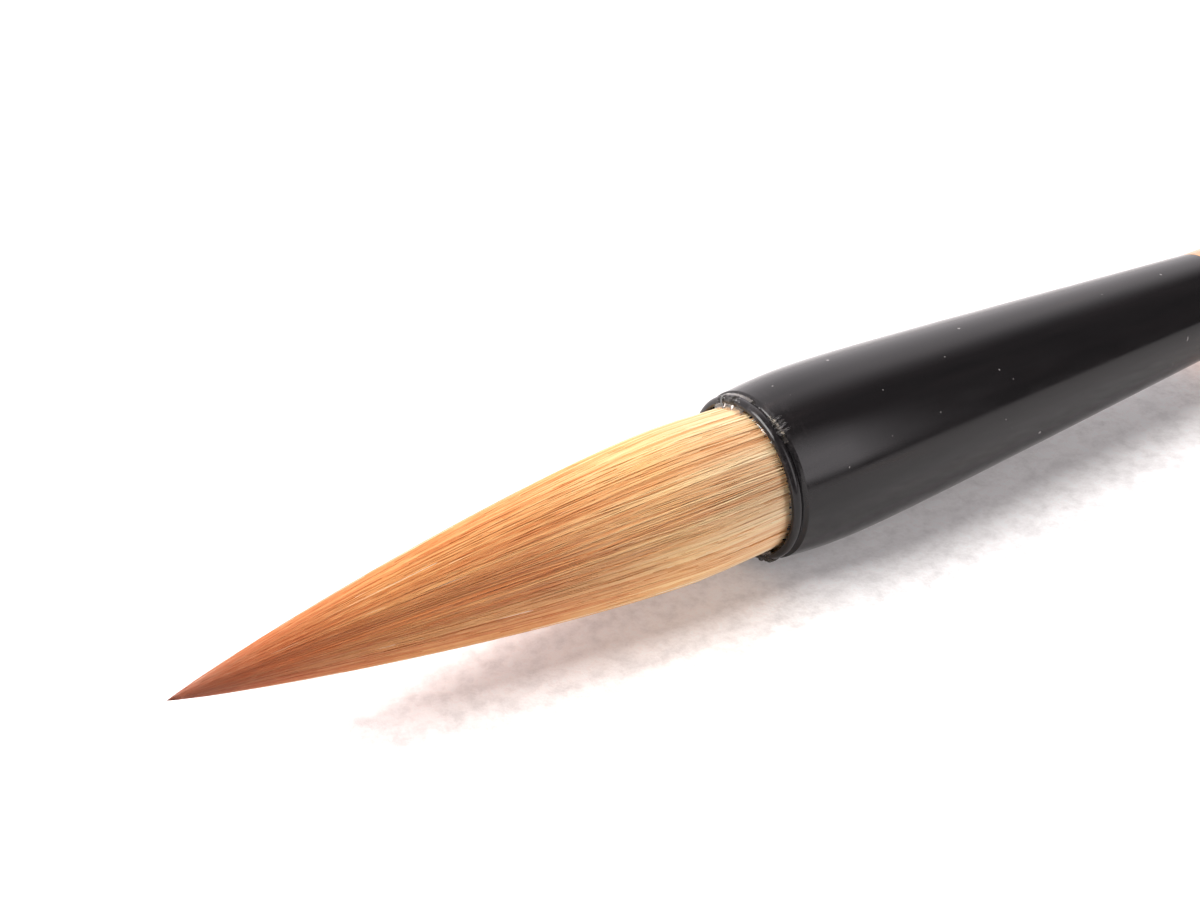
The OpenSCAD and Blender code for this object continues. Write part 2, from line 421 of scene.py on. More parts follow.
def furrow(turn, s):
    """The parting between two big locks, from 0 to 1: exp(-(distance / width) squared) round
    one line along the tuft, faded in past the belly and faded out at the point."""
    aside = np.angle(np.exp(1j * (turn - FURROW_TURN)))
    rising = np.clip((s / HAIR_L - FURROW_START) / FURROW_RISE, 0, 1)
    falling = np.clip((1 - s / HAIR_L) / FURROW_FALL, 0, 1)
    return np.exp(-(aside / FURROW_WIDTH) ** 2) * rising * falling


def lock_tone_and_furrow_shade(turn, s):
    """The tone of the lock at a place on the tuft, with painted shade down in the furrow."""
    return locks(turn, s, LOCK_SEED, LOCK_COUNTS) - FURROW_SHADE * furrow(turn, s)


print("furrow, degrees towards the front from the top:", round(math.degrees(FURROW_TURN)))

# %% [markdown]
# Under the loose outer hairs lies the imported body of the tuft: outer hair round short padding
# hair round a stiff core. Making all of it as threads would take millions of faces that nobody
# sees, so it is solid. Fine ridges round the outside stand for hairs pressed together. These
# helpers give the radius of each layer, carry it round the axis and store the hair's tones.

# %% Helpers for packed hair
CUT = (BEND["belly_bend"] + BEND["tip_bend"]) / 2
ROOT_L = ROOT_X - MOUTH_X
PADDING_END = 9 * MM
CORE_POINT = HAIR_L - 1.5 * MM
CORE_SHARE, PADDED_SHARE = 0.55, 0.8
SKIN = 0.07 * MM
RIDGE_COUNT, RIDGE_DEPTH, RIDGE_WANDER = 230, 0.015 * MM, 2
SKIN_SIDES, CORE_SIDES = 4 * RIDGE_COUNT, 180
STATION_GAP = 0.8 * MM
print("the tuft is cut", round(CUT / MM, 1), "mm from the mouth, half way between its bends")


def inner_share(s):
    """Share of the radius inside the outer hair. It falls evenly to the core's share."""
    left = np.clip((PADDING_END - s) / (PADDING_END + ROOT_L), 0, 1)
    return CORE_SHARE + (PADDED_SHARE - CORE_SHARE) * left


def stations(start, end):
    """Evenly spaced places along the tuft, no more than STATION_GAP apart."""
    return np.linspace(start, end, 2 + int(abs(end - start) / STATION_GAP))


def outer_skin(s):
    """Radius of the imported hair: the tuft's outline less the loose hairs that lie on it."""
    return tuft_radius(s) * (1 - SKIN / BELLY_R)


def dress(piece):
    """Stores, for each point of a piece of hair, its reach along the tuft, the tone of its
    lock with painted shade in the furrow, and a finer tone of its own."""
    points = np.empty(len(piece.data.vertices) * 3)
    piece.data.vertices.foreach_get("co", points)
    x, y, z = points.reshape(-1, 3).T
    s, turn = MOUTH_X - x, np.arctan2(-y, z - AXIS_Z)
    set_value(piece, "reach", np.clip(s / HAIR_L, 0, 1))
    set_value(piece, "lock", lock_tone_and_furrow_shade(turn, s))
    set_value(piece, "tone", 0.6 * locks(turn, s, seed=7, counts=(83, 118, 167)))


def hair_body(name, s, r, ridged, material, sides=SKIN_SIDES):
    """A turned solid of hair. Where ridged is 1, a wave round the tuft is added to the radius:
    depth * (fine cosine + lock pattern) - furrow, in proportion to the tuft's radius there."""
    turn = np.arange(sides)[None, :] * 2 * np.pi / sides
    place = s[:, None]
    wander = RIDGE_WANDER * locks(turn, place, seed=11, counts=(3, 7, 12))
    fine = np.cos(RIDGE_COUNT * turn + wander)
    wave = (fine + locks(turn, place, LOCK_SEED, LOCK_COUNTS)) * RIDGE_DEPTH
    ripple = wave * (ridged * tuft_radius(s) / BELLY_R)[:, None]
    ripple = ripple - furrow(turn, place) * FURROW_DEPTH * (ridged * tuft_radius(s))[:, None]
    if r[0] == 0:
        ripple = ripple[1:-1]
    piece = turned(name, MOUTH_X - s, r, sides, material, ripple, sharp_above=60)
    dress(piece)
    return piece


# %% [markdown]
# The outer hair and the core are each made in two pieces. The tuft bends at two places, so
# they are cut half way between. The padding is short and needs no cut. Each hollow piece's
# outline runs along one side of its wall and comes back along the other.

# %% Packed hair under the surface
out, back = stations(-ROOT_L, CUT), stations(CUT, -ROOT_L)
mantle_back = hair_body(
    "mantle_back", np.concatenate([out, back]),
    np.concatenate([outer_skin(out), tuft_radius(back) * inner_share(back)]),
    np.concatenate([np.ones(len(out)), np.zeros(len(back))]), UNDER_HAIR)

back, out = stations(CORE_POINT, CUT), stations(CUT, HAIR_L)
radius = np.concatenate([tuft_radius(back) * CORE_SHARE, outer_skin(out)])
radius[[0, -1]] = 0
mantle_front = hair_body(
    "mantle_front", np.concatenate([back, out]), radius,
    np.concatenate([np.zeros(len(back)), np.ones(len(out))]), UNDER_HAIR)

out, back = stations(-ROOT_L, PADDING_END), stations(PADDING_END, -ROOT_L)[1:]
padding = hair_body(
    "padding", np.concatenate([out, back]),
    np.concatenate([tuft_radius(out) * inner_share(out), tuft_radius(back) * CORE_SHARE]),
    np.zeros(len(out) + len(back)), CORE_HAIR, sides=CORE_SIDES)


def core_length(name, start, end):
    """A solid length of the core hair, closed on the axis at both ends."""
    s = stations(start, end)
    r = np.concatenate([[0], tuft_radius(s) * CORE_SHARE, [0]])
    s = np.concatenate([s[:1], s, s[-1:]])
    return hair_body(name, s, r, np.zeros(len(s)), CORE_HAIR, sides=CORE_SIDES)


core_back = core_length("core_back", -ROOT_L, CUT)
core_front = core_length("core_front", CUT, CORE_POINT)

# %% [markdown]
# Now the hairs that are seen one by one. Making them as real threads, not as a picture of
# hair, gives the tuft its broken outline and lets light catch single hairs. First each hair
# draws its own numbers: where it stands round the tuft, where it ends, how deep it lies, how it
# wanders, how thick it is and its tone. Most end near the point, and a few are nearly white.

# %% Numbers for the loose hairs
HAIR_COUNT = 1700
HAIR_START = -0.8 * MM
HAIR_R = 0.05 * MM
SHORTEST_BY = 13 * MM
BLEACHED_SHARE, BLEACHED_TONE = 0.025, 1.5
dice = np.random.default_rng(21)
bleached = dice.random(HAIR_COUNT) < BLEACHED_SHARE
hair = {
    "turn": dice.uniform(0, 2 * np.pi, HAIR_COUNT),
    "end": HAIR_L - SHORTEST_BY * dice.beta(0.8, 2.4, HAIR_COUNT),
    "sink": dice.uniform(-0.004, 0.035, HAIR_COUNT),
    "sway": dice.normal(0, 0.03, HAIR_COUNT),
    "sway_phase": dice.uniform(0, 2 * np.pi, HAIR_COUNT),
    "cross": dice.normal(0, 0.09, HAIR_COUNT),
    "thickness": dice.uniform(0.75, 1.35, HAIR_COUNT),
    "tone": np.where(bleached, BLEACHED_TONE, np.clip(dice.normal(0, 0.6, HAIR_COUNT), -1, 1)),
}
print(HAIR_COUNT, "hairs,", np.sum(bleached), "of them bleached; the shortest is",
      round(min(hair["end"]) / MM, 1), "mm long")

# %% [markdown]
# Each hair is a thin three-sided thread that lies on the tuft's outline, wanders a little to
# either side and thins towards its end. All threads are worked out together, in arrays with
# one row for each hair and one column for each place on it. They are cut at the same place as
# the imported hair under them.

# %% Loose hairs
SWAYS = 1.3
END_SHARE = 0.06


def hair_paths(s):
    """Turn and radius of every hair at places s, one row for each hair. The turn is the
    hair's own, plus a slow sine, plus a slant; the radius follows the tuft's outline."""
    far = s / HAIR_L
    sway = hair["sway"][:, None] * np.sin(2 * np.pi * SWAYS * far + hair["sway_phase"][:, None])
    turn = hair["turn"][:, None] + sway + hair["cross"][:, None] * far
    radius = tuft_radius(s) * (1 - hair["sink"][:, None] - FURROW_DEPTH * furrow(turn, s))
    return turn, radius


def hair_threads(name, s, material):
    """Three-sided threads, one for each row of s, closed at both ends. A hair's thickness is
    its own times the square root of what is left of its length, so its end is fine."""
    count, places = s.shape
    turn, radius = hair_paths(s)
    left = np.clip((hair["end"][:, None] - s) / hair["end"][:, None], 0, 1)
    thick = HAIR_R * hair["thickness"][:, None] * (END_SHARE + (1 - END_SHARE) * np.sqrt(left))
    corner = np.arange(3) * 2 * np.pi / 3
    out = radius[:, :, None] + thick[:, :, None] * np.cos(corner)
    aside = thick[:, :, None] * np.sin(corner) / np.maximum(radius, HAIR_R)[:, :, None]
    points = around_axis((MOUTH_X - s)[:, :, None], out, turn[:, :, None] + aside)
    first = (np.arange(count) * places * 3)[:, None, None]
    walls = (first + grid_faces(places, 3, False)[None]).reshape(-1, 4)
    start_cap = first[:, 0] + np.array([[2, 1, 0]])
    end_cap = first[:, 0] + (places - 1) * 3 + np.array([[0, 1, 2]])
    caps = np.concatenate([start_cap, end_cap])
    piece = make_piece(name, points, [walls, caps], material, sharp_above=180)

    # A thread is smooth but for its two caps. Sharp caps keep the cut between threads unseen.
    edge_ends = np.empty(2 * len(piece.data.edges), np.int32)
    piece.data.edges.foreach_get("vertices", edge_ends)
    ring = (edge_ends.reshape(-1, 2) // 3) % places
    round_cap = (ring[:, 0] == ring[:, 1]) & np.isin(ring[:, 0], (0, places - 1))
    piece.data.edges.foreach_set("use_edge_sharp", round_cap)

    each = np.broadcast_to(s[:, :, None], (count, places, 3))
    set_value(piece, "reach", np.clip(each / HAIR_L, 0, 1))
    # The lock's number carries painted shade down in the furrow.
    set_value(piece, "lock", lock_tone_and_furrow_shade(turn, s)[:, :, None] + 0 * each)
    set_value(piece, "tone", hair["tone"][:, None, None] + 0 * each)
    return piece


evenly = np.linspace(0, 1, 13)[None, :]
back_s = HAIR_START + (CUT - HAIR_START) * evenly + np.zeros((HAIR_COUNT, 1))
front_s = CUT + (hair["end"][:, None] - CUT) * evenly
hairs_back = hair_threads("hairs_back", back_s, OUTER_HAIR)
hairs_front = hair_threads("hairs_front", front_s, OUTER_HAIR)

# %% [markdown]
# The ferrule and the finial are turned from black horn and polished. Horn is nearly black but
# not dead: it has faint brown streaks along it, very fine turning marks and a few specks of
# dust. Its depth comes from a smooth gloss over a dark base, so the studio shows in it as a
# pale edge, a dark band and a grey lower side. Behind the lip the polish is dull in blotches,
# and on the upper side these blotches are also painted paler, as a painted highlight.

# %% Horn finish
def horn_finish():
    """Black with faint brown streaks, a soft polish and fine turning marks. Where the piece
    stores wear_and_painted_highlight, dried glue and wear make it duller in blotches; on the
    upper side they are also paler, a painted highlight."""
    finish = Finish("polished_horn")
    streak = finish.noise((60, 900, 900), detail=4)
    speck = finish.noise((2600, 2600, 2600), detail=0)
    body = finish.ramp(streak, [
        (0.35, (0.0065, 0.0060, 0.0065)), (0.65, (0.011, 0.0095, 0.010)),
        (0.85, (0.020, 0.013, 0.010)),
    ])
    dusty = finish.mix(finish.spread(speck, 0.86, 0.89, 0, 0.5), body, (0.45, 0.43, 0.42, 1))
    polish = finish.spread(finish.noise((300, 1400, 1400)), 0.3, 0.7, 0.10, 0.19)
    wear = finish.noise((2600, 1900, 1900), detail=4, roughness=0.7)
    blotch = finish.spread(wear, 0.5, 0.66, 0, 1)
    wear_and_highlight = finish.mix(1.0, blotch, finish.stored("wear_and_painted_highlight"), "MULTIPLY")
    # The paler base in the blotches on the upper side is a painted highlight; the duller polish is wear.
    finish.set(
        Base_Color=finish.mix(wear_and_highlight, dusty, (0.024, 0.021, 0.022, 1)),
        Roughness=finish.mix(wear_and_highlight, polish, (0.3, 0.3, 0.3, 1)),
        IOR=1.37,
    )
    finish.bump(finish.noise((9000, 120, 120), detail=2), 0.004 * MM, 0.3)
    return finish.material


HORN = horn_finish()
print("horn finish:", HORN.name)

# %% [markdown]
# The ferrule's outline comes off the lathe as one loop: a rounded lip, a fine groove behind
# it, a shoulder that swells to the widest place, the long taper down to the shaft, then back
# inside through the socket, the pilot hole and the pocket that holds the hair. Points crowd at
# the lip and groove, where the eye looks, and are spare along the plain taper.

# %% Ferrule
FERRULE_L = FERRULE_END_X - MOUTH_X
LIP_R, LIP_W = 5.0 * MM, 0.65 * MM
BODY_AT, BEND_SHARE = 5.0 * MM, 0.12
POCKET_R, POCKET_FLOOR_R, POCKET_L = 4.55 * MM, 3.5 * MM, 13 * MM
CUFF_L = 1.5 * MM
SOCKET_R, SOCKET_L, PILOT_R = 2.75 * MM, 15.5 * MM, 1.0 * MM
LIP_ROUND = 0.25 * MM
EDGE = 0.1 * MM
GROOVE_DEPTH, GROOVE_END = 0.12 * MM, 0.9 * MM
FERRULE_SIDES = 256
WEAR_AND_HIGHLIGHT_L, HIGHLIGHT_SIDE_LOW = 2.6 * MM, 0.2


def ferrule_radius(s):
    """A quarter of a sine wave from the lip out to the widest place, then a hyperbola that
    starts flat and turns into a straight taper down to the shaft."""
    shoulder = LIP_R + (BODY_R - LIP_R) * np.sin(np.pi / 2 * np.clip(s / BODY_AT, 0, 1))
    run = np.clip((s - BODY_AT) / (FERRULE_L - BODY_AT), 0, 1)
    done = np.hypot(run, BEND_SHARE) - BEND_SHARE
    return shoulder - (BODY_R - SHAFT_R) * done / (math.hypot(1, BEND_SHARE) - BEND_SHARE)


sweep = np.radians(np.linspace(0, 150, 13))
lip = np.stack([LIP_W / 2 * (1 - np.cos(sweep)), LIP_R - LIP_ROUND + LIP_ROUND * np.sin(sweep)])
dip = np.linspace(0, 1, 9)
groove_s = lip[0, -1] + (GROOVE_END - lip[0, -1]) * dip
groove_rim = lip[1, -1] + (ferrule_radius(GROOVE_END) - lip[1, -1]) * dip ** 2
groove = np.stack([groove_s, groove_rim - GROOVE_DEPTH * np.sin(np.pi * dip) ** 2 * (1 - dip)])
long_s = np.linspace(GROOVE_END, FERRULE_L, 76)
curve = np.stack([long_s, ferrule_radius(long_s)])
inside = np.array([
    (FERRULE_L, SOCKET_R), (FERRULE_L - SOCKET_L, SOCKET_R), (FERRULE_L - SOCKET_L, PILOT_R),
    (POCKET_L, PILOT_R), (POCKET_L, POCKET_FLOOR_R), (CUFF_L, POCKET_R), (EDGE, POCKET_R),
    (0, POCKET_R + EDGE),
]).T
ferrule_s, ferrule_r = np.concatenate([lip, groove[:, 1:], curve[:, 1:], inside], axis=1)
ferrule = turned("ferrule_horn", MOUTH_X + ferrule_s, ferrule_r, FERRULE_SIDES, HORN)
behind_lip = np.clip(1 - ferrule_s[:, None] / WEAR_AND_HIGHLIGHT_L, 0, 1)
ferrule_turn = np.arange(FERRULE_SIDES) * 2 * np.pi / FERRULE_SIDES
# The upper side, where the blotches are also painted paler as a painted highlight.
upward = np.clip(np.cos(ferrule_turn)[None, :] + HIGHLIGHT_SIDE_LOW, 0, 1)
set_value(ferrule, "wear_and_painted_highlight", behind_lip * upward)

# %% [markdown]
# The glue that sets the hair is clear with a faint amber tint. It lets nearly all light
# through, so it shows by its glints and by what it bends, not by a colour of its own. A fine
# noise makes its surface a little lumpy.

# %% Clear glue finish
def glue_finish():
    """Clear and wet, with a faint amber tint."""
    finish = Finish("clear_glue")
    lump = finish.noise((2500, 2500, 2500), detail=2)
    finish.set(
        Base_Color=finish.ramp(lump, [(0.3, (0.90, 0.80, 0.66)), (0.7, (0.97, 0.93, 0.86))]),
        Roughness=finish.spread(lump, 0.3, 0.7, 0.03, 0.12),
        IOR=1.5,
        Transmission_Weight=1.0,
    )
    finish.bump(lump, 0.03 * MM, 0.6)
    return finish.material


CLEAR_GLUE = glue_finish()
print("glue finish:", CLEAR_GLUE.name)

# %% [markdown]
# The setting glue fills the pocket round the hair and ends in a thin clear edge just inside
# the ferrule's mouth. Its front edge is a sum of waves, so it reaches a little further out in
# some places. Further out it would lie on the hair and darken it.

# %% Setting glue
GLUE_SIDES = 360
BEAD = 0.08 * MM
BEAD_SLOW, BEAD_RAGGED, BEAD_INSET = 0.5, 0.45, 1.5
BEAD_L, BEAD_BULGE = 0.4 * MM, 0.05 * MM
FILM, SOAK = 0.03 * MM, 0.02 * MM


def bead_reach(turn):
    """How far the glue reaches out along the hair, round the mouth: a level just inside it,
    slow waves and ragged ones."""
    slow = locks(turn, 0, seed=31, counts=(2, 3, 5, 8))
    ragged = locks(turn, 0, seed=32, counts=(13, 21, 34, 55))
    return BEAD * (BEAD_SLOW * slow + BEAD_RAGGED * ragged - BEAD_INSET)


glue_turn = np.arange(GLUE_SIDES) * 2 * np.pi / GLUE_SIDES
climb = bead_reach(glue_turn)[None, :]
front = np.linspace(0, 1, 9)[:, None]
bead_s = climb * front - BEAD_L * (1 - front)
hair_line = tuft_radius(bead_s) + FILM
bead_r = hair_line + (POCKET_R - hair_line) * (1 - front) ** 2 + BEAD_BULGE * np.sin(np.pi * front)
root_s = stations(-BEAD_L - EDGE, -ROOT_L)[:, None] + 0 * climb
under_r = np.concatenate([tuft_radius(bead_s[::-1]) - SOAK, tuft_radius(root_s)])
under_s = np.concatenate([bead_s[::-1], root_s])
floor_s = np.array([-POCKET_L, -POCKET_L, -CUFF_L])[:, None] + 0 * climb
floor_r = np.array([NECK_R, POCKET_FLOOR_R, POCKET_R])[:, None] + 0 * climb
glue_s = np.concatenate([bead_s, under_s, floor_s])
glue_r = np.concatenate([bead_r, under_r, floor_r])
glue_points = around_axis(MOUTH_X - glue_s, glue_r, glue_turn[None, :])
glue = make_piece("glue_bead", glue_points, [grid_faces(len(glue_s), GLUE_SIDES, True)],
                  CLEAR_GLUE, 60)

# %% [markdown]
# In three places a drop of the glue has run over the lip and set there, clear and uneven. A
# drop is a patch of surface that follows the lip's outline from the hair over the rim to
# behind the groove. It is thickest in its middle, and its underside lies hidden in the horn.

# %% Drops of glue on the lip
DROP_LINE = np.array([
    (-0.30, 4.36), (-0.12, 4.42), (-0.02, 4.62), (0.0, 4.80), (0.06, 4.95), (0.2, 5.0),
    (0.45, 5.0), (0.8, 5.04), (1.2, 5.13), (1.7, 5.18),
]).T * MM
DROP_ROWS, DROP_COLUMNS = 30, 61
DROP_FOOT, DROP_THINNEST = 0.07 * MM, 0.03 * MM
DROP_FALL, DROP_LUMPS = 3.2, 0.8


def glue_drop(name, centre, width, start, end, height, seed):
    """A drop of glue on the lip's outline, between two shares of DROP_LINE. Its thickness is
    height * (1 + lumps - fall * distance from the drop's middle squared). Where that is less
    than nothing the drop's top dips into the horn, which gives it an uneven rim."""
    along = np.linspace(start, end, DROP_ROWS)
    step = np.hypot(*np.diff(DROP_LINE))
    mark = np.concatenate([[0], np.cumsum(step)]) / step.sum()
    s, r = np.interp(along, mark, DROP_LINE[0]), np.interp(along, mark, DROP_LINE[1])

    # way is the outline's direction, and out is at right angles to it, away from the horn.
    way_s, way_r = np.gradient(s), np.gradient(r)
    size = np.hypot(way_s, way_r)
    out_s, out_r = (-way_r / size)[:, None], (way_s / size)[:, None]
    across = np.linspace(-1, 1, DROP_COLUMNS)[None, :]
    down = np.linspace(-1, 1, DROP_ROWS)[:, None]
    turn = centre + across * width
    lumps = locks(turn, s[:, None] * 30, seed, counts=(20, 36, 64, 108)) * DROP_LUMPS
    thick = height * (1 + lumps - DROP_FALL * (across ** 2 + down ** 2))
    thick = np.maximum(thick, DROP_THINNEST - DROP_FOOT)
    s, r = s[:, None] + 0 * across, r[:, None] + 0 * across
    ring_s = np.concatenate([s + thick * out_s, (s - DROP_FOOT * out_s)[::-1]])
    ring_r = np.concatenate([r + thick * out_r, (r - DROP_FOOT * out_r)[::-1]])
    rows, columns = ring_s.shape
    faces = grid_faces(rows, columns, True).reshape(rows, columns, 4)[:, :-1].reshape(-1, 4)
    top = np.arange(rows // 2 - 1) * columns
    low = (rows - 1) * columns - top
    side = np.stack([top, top + columns, low - columns, low], -1)
    other = (side + columns - 1)[:, ::-1]
    return make_piece(name, around_axis(MOUTH_X + ring_s, ring_r, turn), [faces, side, other],
                      CLEAR_GLUE, 50)


drops = [
    glue_drop("glue_drop_near", math.radians(27), math.radians(11), 0.3, 0.95, 0.09 * MM, seed=51),
    glue_drop("glue_drop_top", math.radians(-20), math.radians(18), 0.0, 0.6, 0.07 * MM, seed=52),
    glue_drop("glue_drop_low", math.radians(150), math.radians(12), 0.1, 0.7, 0.09 * MM, seed=53),
]

# %% [markdown]
# The shaft is a straight length of bamboo, varnished a warm honey colour. Bamboo has no rings
# like wood. It has long fine fibres and short dark dashes where its vessels show, and a smooth
# coat of varnish lies over them. Three noises, each stretched along the shaft by a different
# amount, give the broad tone, the fibres and the dashes.

# %% Bamboo finish
def bamboo_finish():
    """Honey ground, long fibres, short dark vessels and a clear varnish."""
    finish = Finish("varnished_bamboo")
    broad = finish.noise((14, 260, 260), detail=3)
    fibre = finish.noise((45, 3600, 3600), detail=3, roughness=0.65)
    vessel = finish.noise((170, 2300, 2300), detail=1)
    ground = finish.ramp(broad, [
        (0.25, (0.42, 0.165, 0.036)), (0.5, (0.53, 0.235, 0.058)), (0.8, (0.63, 0.33, 0.10)),
    ])
    fibres = finish.mix(finish.spread(fibre, 0.4, 0.75, 0, 0.45), ground, (0.42, 0.17, 0.04, 1))
    vessels = finish.mix(finish.spread(vessel, 0.66, 0.76, 0, 0.7), fibres, (0.22, 0.08, 0.02, 1))
    finish.set(
        Base_Color=vessels,
        Roughness=finish.spread(fibre, 0.3, 0.7, 0.32, 0.45),
        Coat_Weight=0.7,
        Coat_Roughness=0.08,
        Coat_IOR=1.5,
    )
    finish.bump(fibre, 0.01 * MM, 0.4)
    return finish.material


BAMBOO = bamboo_finish()
print("bamboo finish:", BAMBOO.name)

# %% [markdown]
# The shaft is turned like the ferrule, with a thinner tenon that goes into the ferrule's
# socket and a hollow through its middle. A bamboo culm is never quite round, so a few waves
# give it faint lengthwise ridges. They fade out at both ends, where it was cut to fit.

# %% Shaft
SHAFT_END_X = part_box("shaft")[1].x
TENON_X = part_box("shaft")[0].x
HOLLOW_R = 1.5 * MM
TENON_R = 2.6 * MM
SHAFT_SIDES = 200
RIB_DEPTH, RIB_START, RIB_FADE = 0.012 * MM, 4 * MM, 10 * MM
tenon = [(TENON_X, HOLLOW_R), (TENON_X, TENON_R - EDGE), (TENON_X + EDGE, TENON_R),
         (FERRULE_END_X, TENON_R), (FERRULE_END_X, SHAFT_R - EDGE / 2)]
run = [(x, SHAFT_R) for x in np.linspace(FERRULE_END_X + EDGE / 2, SHAFT_END_X - EDGE / 2, 90)]
shaft_outline = np.array([*tenon, *run, (SHAFT_END_X, SHAFT_R - EDGE / 2), (SHAFT_END_X, HOLLOW_R)])
shaft_turn = np.arange(SHAFT_SIDES) * 2 * np.pi / SHAFT_SIDES
reach_in = np.clip((shaft_outline[:, 0] - FERRULE_END_X - RIB_START) / RIB_FADE, 0, 1)
reach_out = np.clip((SHAFT_END_X - shaft_outline[:, 0]) / RIB_FADE, 0, 1)
swell = np.where(shaft_outline[:, 1] >= SHAFT_R - EDGE, reach_in * reach_out, 0)
slow_x = (shaft_outline[:, :1] - FERRULE_END_X) / 4
ribs = locks(shaft_turn[None, :], slow_x, seed=41, counts=(2, 3, 11, 17, 29, 43)) * RIB_DEPTH
shaft = turned("bamboo_shaft", shaft_outline[:, 0], shaft_outline[:, 1], SHAFT_SIDES, BAMBOO,
               (ribs - RIB_DEPTH) * swell[:, None])

# %% [markdown]
# The finial is a short horn cap with a collar, a groove and a rounded end. A spigot goes into
# the hollow bamboo, and a fine hole runs through it for a hanging cord. Its outline is a loop
# like the ferrule's, with a quarter of an ellipse for the rounded end.

# %% Finial
FINIAL_END_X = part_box("finial")[1].x
SPIGOT_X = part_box("finial")[0].x
SPIGOT_R, CORD_HOLE_R = 1.35 * MM, 0.9 * MM
COLLAR_L, NECK_L, NECK_DEPTH, END_R = 1.6 * MM, 0.6 * MM, 0.35 * MM, 2.0 * MM
FINIAL_SIDES = 160
dome_x = SHAFT_END_X + COLLAR_L + NECK_L
quarter = np.radians(np.linspace(0, 90, 33))
dome = np.stack([dome_x + (FINIAL_END_X - dome_x) * np.sin(quarter),
                 END_R + (SHAFT_R - END_R) * np.cos(quarter)])
bead_edge = 0.12 * MM
head = np.array([
    (SPIGOT_X, CORD_HOLE_R), (SPIGOT_X, SPIGOT_R), (SHAFT_END_X, SPIGOT_R),
    (SHAFT_END_X, SHAFT_R - EDGE), (SHAFT_END_X + EDGE, SHAFT_R),
    (SHAFT_END_X + COLLAR_L - bead_edge, SHAFT_R), (SHAFT_END_X + COLLAR_L, SHAFT_R - bead_edge),
    (SHAFT_END_X + COLLAR_L + NECK_L * 0.2, SHAFT_R - NECK_DEPTH),
    (SHAFT_END_X + COLLAR_L + NECK_L * 0.8, SHAFT_R - NECK_DEPTH),
    (dome_x, SHAFT_R - bead_edge),
]).T
hole_edge = 0.15 * MM
foot = np.array([
    (FINIAL_END_X, CORD_HOLE_R + hole_edge), (FINIAL_END_X - hole_edge, CORD_HOLE_R),
]).T
finial_x, finial_r = np.concatenate([head, dome[:, 1:], foot], axis=1)
finial = turned("horn_finial", finial_x, finial_r, FINIAL_SIDES, HORN)

# %% [markdown]
# Four pieces hidden inside keep their measured shape and only need a finish of their own: silk
# thread round the neck of hair, amber rosin on the root end, and old glue in the two joints.

# %% Finishes for the hidden pieces
def plain_finish(name, dark, light, scale, roughness, bump_depth):
    """Two tones mixed by a stretched noise, with a matching bump."""
    finish = Finish(name)
    grain = finish.noise(scale, detail=4)
    finish.set(
        Base_Color=finish.ramp(grain, [(0.3, dark), (0.7, light)]),
        Roughness=finish.spread(grain, 0.3, 0.7, *roughness),
    )
    finish.bump(grain, bump_depth, 0.5)
    return finish.material


SILK = plain_finish("silk_thread", (0.62, 0.56, 0.44), (0.86, 0.82, 0.72),
                    (900, 6000, 6000), (0.45, 0.65), 0.02 * MM)
ROSIN = plain_finish("amber_rosin", (0.22, 0.07, 0.01), (0.50, 0.22, 0.05),
                     (1200, 1200, 1200), (0.12, 0.35), 0.03 * MM)
JOINT_GLUE = plain_finish("joint_glue", (0.42, 0.24, 0.07), (0.66, 0.44, 0.18),
                          (900, 1500, 1500), (0.2, 0.4), 0.02 * MM)
for node, material in (
    ("root_binding", SILK), ("root_seal", ROSIN),
    ("tenon_glue", JOINT_GLUE), ("finial_glue", JOINT_GLUE),
):
    mesh = frame["nodes"][node].data
    mesh.materials.clear()
    mesh.materials.append(material)
    print(node, "is finished in", material.name)

# %% [markdown]
# The ferrule, the glue and its drops, the shaft and the finial now ride on the handle. The
# pieces of the tuft only have their placement baked into their points.


for piece in (ferrule, glue, *drops, shaft, finial):
    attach(piece, "handle")
    print(piece.name, "rides on the handle")
for piece in (mantle_back, hairs_back, core_back, padding):
    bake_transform(piece)
for piece in (mantle_front, hairs_front, core_front):
    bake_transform(piece)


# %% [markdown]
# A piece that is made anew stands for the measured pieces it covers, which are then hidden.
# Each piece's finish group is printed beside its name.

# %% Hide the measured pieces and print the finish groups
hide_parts("ferrule")
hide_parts("setting_glue")
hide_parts("shaft")
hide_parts("finial")
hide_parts("padding_hair")
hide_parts("mantle_hair_root", "mantle_hair_belly")
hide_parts("mantle_hair_tip")
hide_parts("core_hair_root", "core_hair_belly")
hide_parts("core_hair_tip")
for piece, slot in (
    (ferrule, "horn"), (finial, "horn"), (shaft, "bamboo"), (glue, "glue"),
    *[(drop, "glue") for drop in drops],
    (padding, "inner_hair"), (core_back, "inner_hair"), (core_front, "inner_hair"),
    (mantle_back, "outer_hair"), (mantle_front, "outer_hair"),
    (hairs_back, "outer_hair"), (hairs_front, "outer_hair"),
):
    print(piece.name, "belongs to", slot)

# %% [markdown]
# The brush lies on a plain white table. It touches it at two places, the ferrule's widest ring
# and the far end of the shaft, and the shaft is thinner, so the table is tilted by a
# fraction of a degree under the brush. That is easier than tilting the brush, which must stay
# where the measured model has it. The table is large, so that its edge is far from the brush.

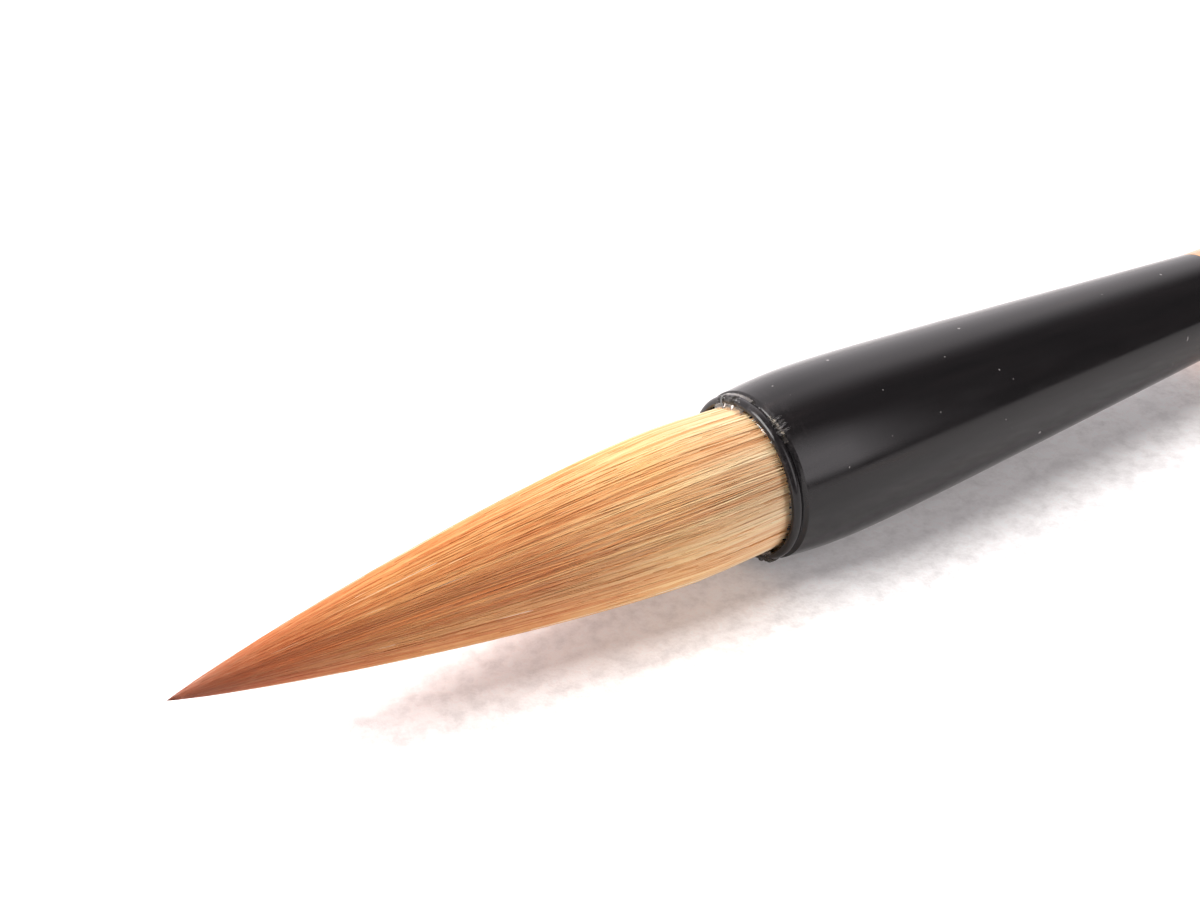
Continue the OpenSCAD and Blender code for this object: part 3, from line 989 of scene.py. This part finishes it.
# %% Table
def table_finish():
    """White paper with a faint mottle. Thick paper also lets light through from beside a
    shadow, so it gives off a little light of its own and no shadow on it is quite dark."""
    finish = Finish("white_paper")
    mottle = finish.noise((700, 700, 700), detail=5, roughness=0.7)
    finish.set(
        Base_Color=finish.ramp(mottle, [(0.35, (0.66, 0.64, 0.64)), (0.65, (0.90, 0.885, 0.885))]),
        Roughness=0.7,
        Emission_Color=(1.0, 0.95, 0.94, 1),
        Emission_Strength=0.17,
    )
    finish.bump(mottle, 0.2 * MM, 0.7)
    return finish.material


TABLE_HALF = 6.0
slope = (BODY_R - SHAFT_R) / (SHAFT_END_X - MOUTH_X - BODY_AT)
touch = Vector((MOUTH_X + BODY_AT, 0, AXIS_Z - BODY_R))
corners = np.array([(-1, -1), (1, -1), (1, 1), (-1, 1)]) * TABLE_HALF
heights = touch.z + (corners[:, 0] - touch.x) * slope
table_data = bpy.data.meshes.new("table")
table_data.from_pydata(np.column_stack([corners, heights]), [], [(0, 1, 2, 3)])
table_data.materials.append(table_finish())
table = bpy.data.objects.new("table", table_data)
bpy.context.scene.collection.objects.link(table)
print("table slope, degrees:", round(math.degrees(math.atan(slope)), 2))

# %% [markdown]
# The studio has three lights. A pale wall stands behind the brush, a large soft screen stands
# in front of it, and a soft lamp hangs above its left. Polished horn shows them all: the wall
# as a pale upper edge, the gap between wall and screen as a dark band, the screen as a faint
# glow by the mouth, and the white table as the grey lower side. The wall and the screen are
# painted into the world by direction, which keeps their edges soft. A faint even light is
# added all round.

# %% Light in every direction
WALL, SCREEN, ROOM = 1.38, 3.1, 0.135


def studio():
    """World brightness by direction (x, y, z): room + wall * step(y) + screen * step(-y) *
    step(-x) * step(x) * step(z). Each step goes smoothly from 0 to 1 between two limits."""
    world = bpy.data.worlds.new("studio")
    world.use_nodes = True
    nodes, links = world.node_tree.nodes, world.node_tree.links
    place = nodes.new("ShaderNodeTexCoord")
    split = nodes.new("ShaderNodeSeparateXYZ")
    links.new(place.outputs["Generated"], split.inputs["Vector"])

    def step(axis, start, end, height=1.0):
        level = nodes.new("ShaderNodeMapRange")
        level.interpolation_type = "SMOOTHSTEP"
        set_limits(level, start, end, 0, height)
        links.new(split.outputs[axis], level.inputs["Value"])
        return level.outputs["Result"]

    def join(kind, first, second):
        node = nodes.new("ShaderNodeMath")
        node.operation = kind
        for socket, value in zip(node.inputs, (first, second)):
            if isinstance(value, bpy.types.NodeSocket):
                links.new(value, socket)
            else:
                socket.default_value = value
        return node.outputs["Value"]

    wall = step("Y", 0.05, 0.5, WALL)
    screen = join("MULTIPLY", step("Y", -0.28, -0.8, SCREEN), step("X", 0.72, 0.5))
    screen = join("MULTIPLY", screen, join("MULTIPLY", step("X", 0.0, 0.35), step("Z", 0.0, 0.22)))
    total = join("ADD", join("ADD", wall, screen), ROOM)
    links.new(total, nodes["Background"].inputs["Strength"])
    nodes["Background"].inputs["Color"].default_value = (1.0, 0.945, 0.975, 1)
    bpy.context.scene.world = world


studio()
print("studio light: wall", WALL, "screen", SCREEN, "room", ROOM)

# %% [markdown]
# The lamp gives the brush its soft shadow and the hair its warm upper side. Colours are
# shown as they are, without a film curve, so that white paper stays white.

# %% The lamp above
def soft_lamp(name, offset, size, power, colour):
    """A square lamp at an offset from the ferrule's mouth, which it faces."""
    data = bpy.data.lights.new(name, "AREA")
    data.shape, data.size = "SQUARE", size
    data.energy, data.color = power, colour
    lamp = bpy.data.objects.new(name, data)
    lamp.location = Vector((MOUTH_X, 0, AXIS_Z)) + Vector(offset)
    lamp.rotation_euler = (-Vector(offset)).to_track_quat("-Z", "Y").to_euler()
    bpy.context.scene.collection.objects.link(lamp)
    print(name, "stands", round(Vector(offset).length, 2), "m from the mouth")


soft_lamp("high_lamp", (-0.45, 0.15, 0.50), 0.45, 8.4, (1.0, 0.985, 0.97))
bpy.context.scene.view_settings.view_transform = "Standard"
